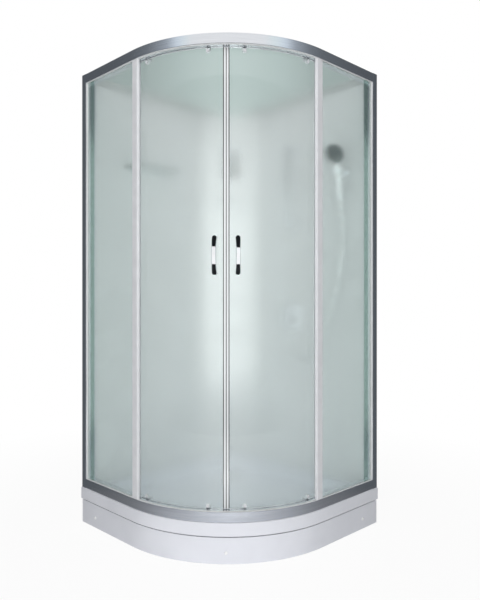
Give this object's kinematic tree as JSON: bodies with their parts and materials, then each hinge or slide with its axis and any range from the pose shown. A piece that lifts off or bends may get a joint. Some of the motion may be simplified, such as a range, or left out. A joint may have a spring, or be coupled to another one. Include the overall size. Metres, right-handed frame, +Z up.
{
  "type": "corner shower cabin",
  "caption": "Rounded corner shower cabin: tray on a footed frame, curved sliding frosted doors on rollers, fixed side panes, back walls, mixer and hand shower.",
  "frame": {"origin": "middle of the square footprint, on the floor under the feet", "axes": "+Z up; the room's corner is at -X, +Y; the rounded front with the doors faces +X, -Y along the diagonal; the wall with the mixer is at +Y"},
  "size_m": [0.9, 0.9, 1.915],
  "materials": {
    "white_acrylic": "glossy sanitary acrylic",
    "wall_panel": "smooth white panel",
    "satin_aluminium": "satin anodised",
    "frosted_glass": "frosted, slightly green",
    "pale_strip": "pale grey soft profile",
    "chrome": "polished",
    "brass": "bare fitting",
    "steel": "zinc plated",
    "painted_steel": "grey powder coat",
    "hose_steel": "silver flexible hose",
    "grey_rubber": "matt",
    "grey_plastic": "moulded",
    "nylon": "natural nylon",
    "mirror": "silvered",
    "clear_glass": "clear"
  },
  "bodies": {
    "cabin": {"apron": "white_acrylic", "apron_brackets": "steel", "apron_screws": "white_acrylic", "base_frame": "painted_steel", "bottom_rail": "satin_aluminium", "column_mirror": "mirror", "column_shelves": "wall_panel", "corner_column": "wall_panel", "corner_profile": "satin_aluminium", "door_stops": "grey_rubber", "drain_flange": "chrome", "drain_gasket": "grey_rubber", "drain_trap": "grey_plastic", "foot_nuts": "steel", "frame_screws": "steel", "glazing_gaskets": "pale_strip", "hand_shower": "chrome", "hose": "hose_steel", "hose_nuts": "chrome", "inlet_unions": "brass", "left_fixed_glass": "frosted_glass", "left_post": "satin_aluminium", "left_stile": "pale_strip", "left_wall": "wall_panel", "levelling_feet": "grey_plastic", "mixer_body": "chrome", "right_fixed_glass": "frosted_glass", "right_post": "satin_aluminium", "right_stile": "pale_strip", "right_wall": "wall_panel", "shelf_brackets": "chrome", "shower_holder": "chrome", "top_rail": "satin_aluminium", "tray": "white_acrylic", "wall_bar": "chrome", "wall_shelf": "clear_glass", "wall_trims": "satin_aluminium"},
    "left_door": {"left_door_glass": "frosted_glass", "left_magnet_seal": "pale_strip", "left_edge_seal": "pale_strip", "left_handle": "chrome", "left_handle_screws": "chrome", "left_roller_hangers": "chrome"},
    "left_top_leading_wheel": {"left_top_leading_wheel": "nylon"},
    "left_bottom_leading_wheel": {"left_bottom_leading_wheel": "nylon"},
    "left_top_trailing_wheel": {"left_top_trailing_wheel": "nylon"},
    "left_bottom_trailing_wheel": {"left_bottom_trailing_wheel": "nylon"},
    "right_door": {"right_door_glass": "frosted_glass", "right_magnet_seal": "pale_strip", "right_edge_seal": "pale_strip", "right_handle": "chrome", "right_handle_screws": "chrome", "right_roller_hangers": "chrome"},
    "right_top_leading_wheel": {"right_top_leading_wheel": "nylon"},
    "right_bottom_leading_wheel": {"right_bottom_leading_wheel": "nylon"},
    "right_top_trailing_wheel": {"right_top_trailing_wheel": "nylon"},
    "right_bottom_trailing_wheel": {"right_bottom_trailing_wheel": "nylon"},
    "mixer_collar": {"mixer_collar": "chrome"},
    "mixer_lever": {"mixer_lever": "chrome"},
    "drain_cover": {"drain_cover": "chrome"}
  },
  "joints": [
    {"name": "left_door_slide", "type": "hinge", "parent": "cabin", "child": "left_door", "pos_m": [-0.14119, 0.23101, 0], "axis": [0, 0, -1], "range_deg": [0, 19.83]},
    {"name": "left_top_leading_wheel_roll", "type": "hinge", "parent": "left_door", "child": "left_top_leading_wheel", "pos_m": [0.2206, -0.31705, 1.8903], "axis": [0.6004, -0.7997, 0], "range_deg": [0, 1310]},
    {"name": "left_bottom_leading_wheel_roll", "type": "hinge", "parent": "left_door", "child": "left_bottom_leading_wheel", "pos_m": [0.2206, -0.31705, 0.1737], "axis": [-0.6004, 0.7997, 0], "range_deg": [0, 1310]},
    {"name": "left_top_trailing_wheel_roll", "type": "hinge", "parent": "left_door", "child": "left_top_trailing_wheel", "pos_m": [-0.02782, -0.41216, 1.8903], "axis": [0.0872, -0.9962, 0], "range_deg": [0, 1310]},
    {"name": "left_bottom_trailing_wheel_roll", "type": "hinge", "parent": "left_door", "child": "left_bottom_trailing_wheel", "pos_m": [-0.02782, -0.41216, 0.1737], "axis": [-0.0872, 0.9962, 0], "range_deg": [0, 1310]},
    {"name": "right_door_slide", "type": "hinge", "parent": "cabin", "child": "right_door", "pos_m": [-0.23101, 0.14119, 0], "axis": [0, 0, 1], "range_deg": [0, 19.83]},
    {"name": "right_top_leading_wheel_roll", "type": "hinge", "parent": "right_door", "child": "right_top_leading_wheel", "pos_m": [0.31705, -0.2206, 1.8903], "axis": [-0.7997, 0.6004, 0], "range_deg": [0, 1310]},
    {"name": "right_bottom_leading_wheel_roll", "type": "hinge", "parent": "right_door", "child": "right_bottom_leading_wheel", "pos_m": [0.31705, -0.2206, 0.1737], "axis": [0.7997, -0.6004, 0], "range_deg": [0, 1310]},
    {"name": "right_top_trailing_wheel_roll", "type": "hinge", "parent": "right_door", "child": "right_top_trailing_wheel", "pos_m": [0.41216, 0.02782, 1.8903], "axis": [-0.9962, 0.0872, 0], "range_deg": [0, 1310]},
    {"name": "right_bottom_trailing_wheel_roll", "type": "hinge", "parent": "right_door", "child": "right_bottom_trailing_wheel", "pos_m": [0.41216, 0.02782, 0.1737], "axis": [0.9962, -0.0872, 0], "range_deg": [0, 1310]},
    {"name": "temperature_turn", "type": "hinge", "parent": "cabin", "child": "mixer_collar", "pos_m": [0, 0.38, 0.897], "axis": [0, -1, 0], "range_deg": [-35, 35]},
    {"name": "lever_lift", "type": "hinge", "parent": "mixer_collar", "child": "mixer_lever", "pos_m": [0, 0.3787, 0.897], "axis": [-1, 0, 0], "range_deg": [0, 18]},
    {"name": "drain_cover_lift", "type": "slide", "parent": "cabin", "child": "drain_cover", "axis": [0, 0, 1], "range_m": [0, 0.03]}
  ],
  "couplings": [
    {"joint": "left_top_leading_wheel_roll", "follows": "left_door_slide", "ratio": 65.671},
    {"joint": "left_bottom_leading_wheel_roll", "follows": "left_door_slide", "ratio": 65.671},
    {"joint": "left_top_trailing_wheel_roll", "follows": "left_door_slide", "ratio": 65.308},
    {"joint": "left_bottom_trailing_wheel_roll", "follows": "left_door_slide", "ratio": 65.308},
    {"joint": "right_top_leading_wheel_roll", "follows": "right_door_slide", "ratio": 65.671},
    {"joint": "right_bottom_leading_wheel_roll", "follows": "right_door_slide", "ratio": 65.671},
    {"joint": "right_top_trailing_wheel_roll", "follows": "right_door_slide", "ratio": 65.308},
    {"joint": "right_bottom_trailing_wheel_roll", "follows": "right_door_slide", "ratio": 65.308}
  ]
}
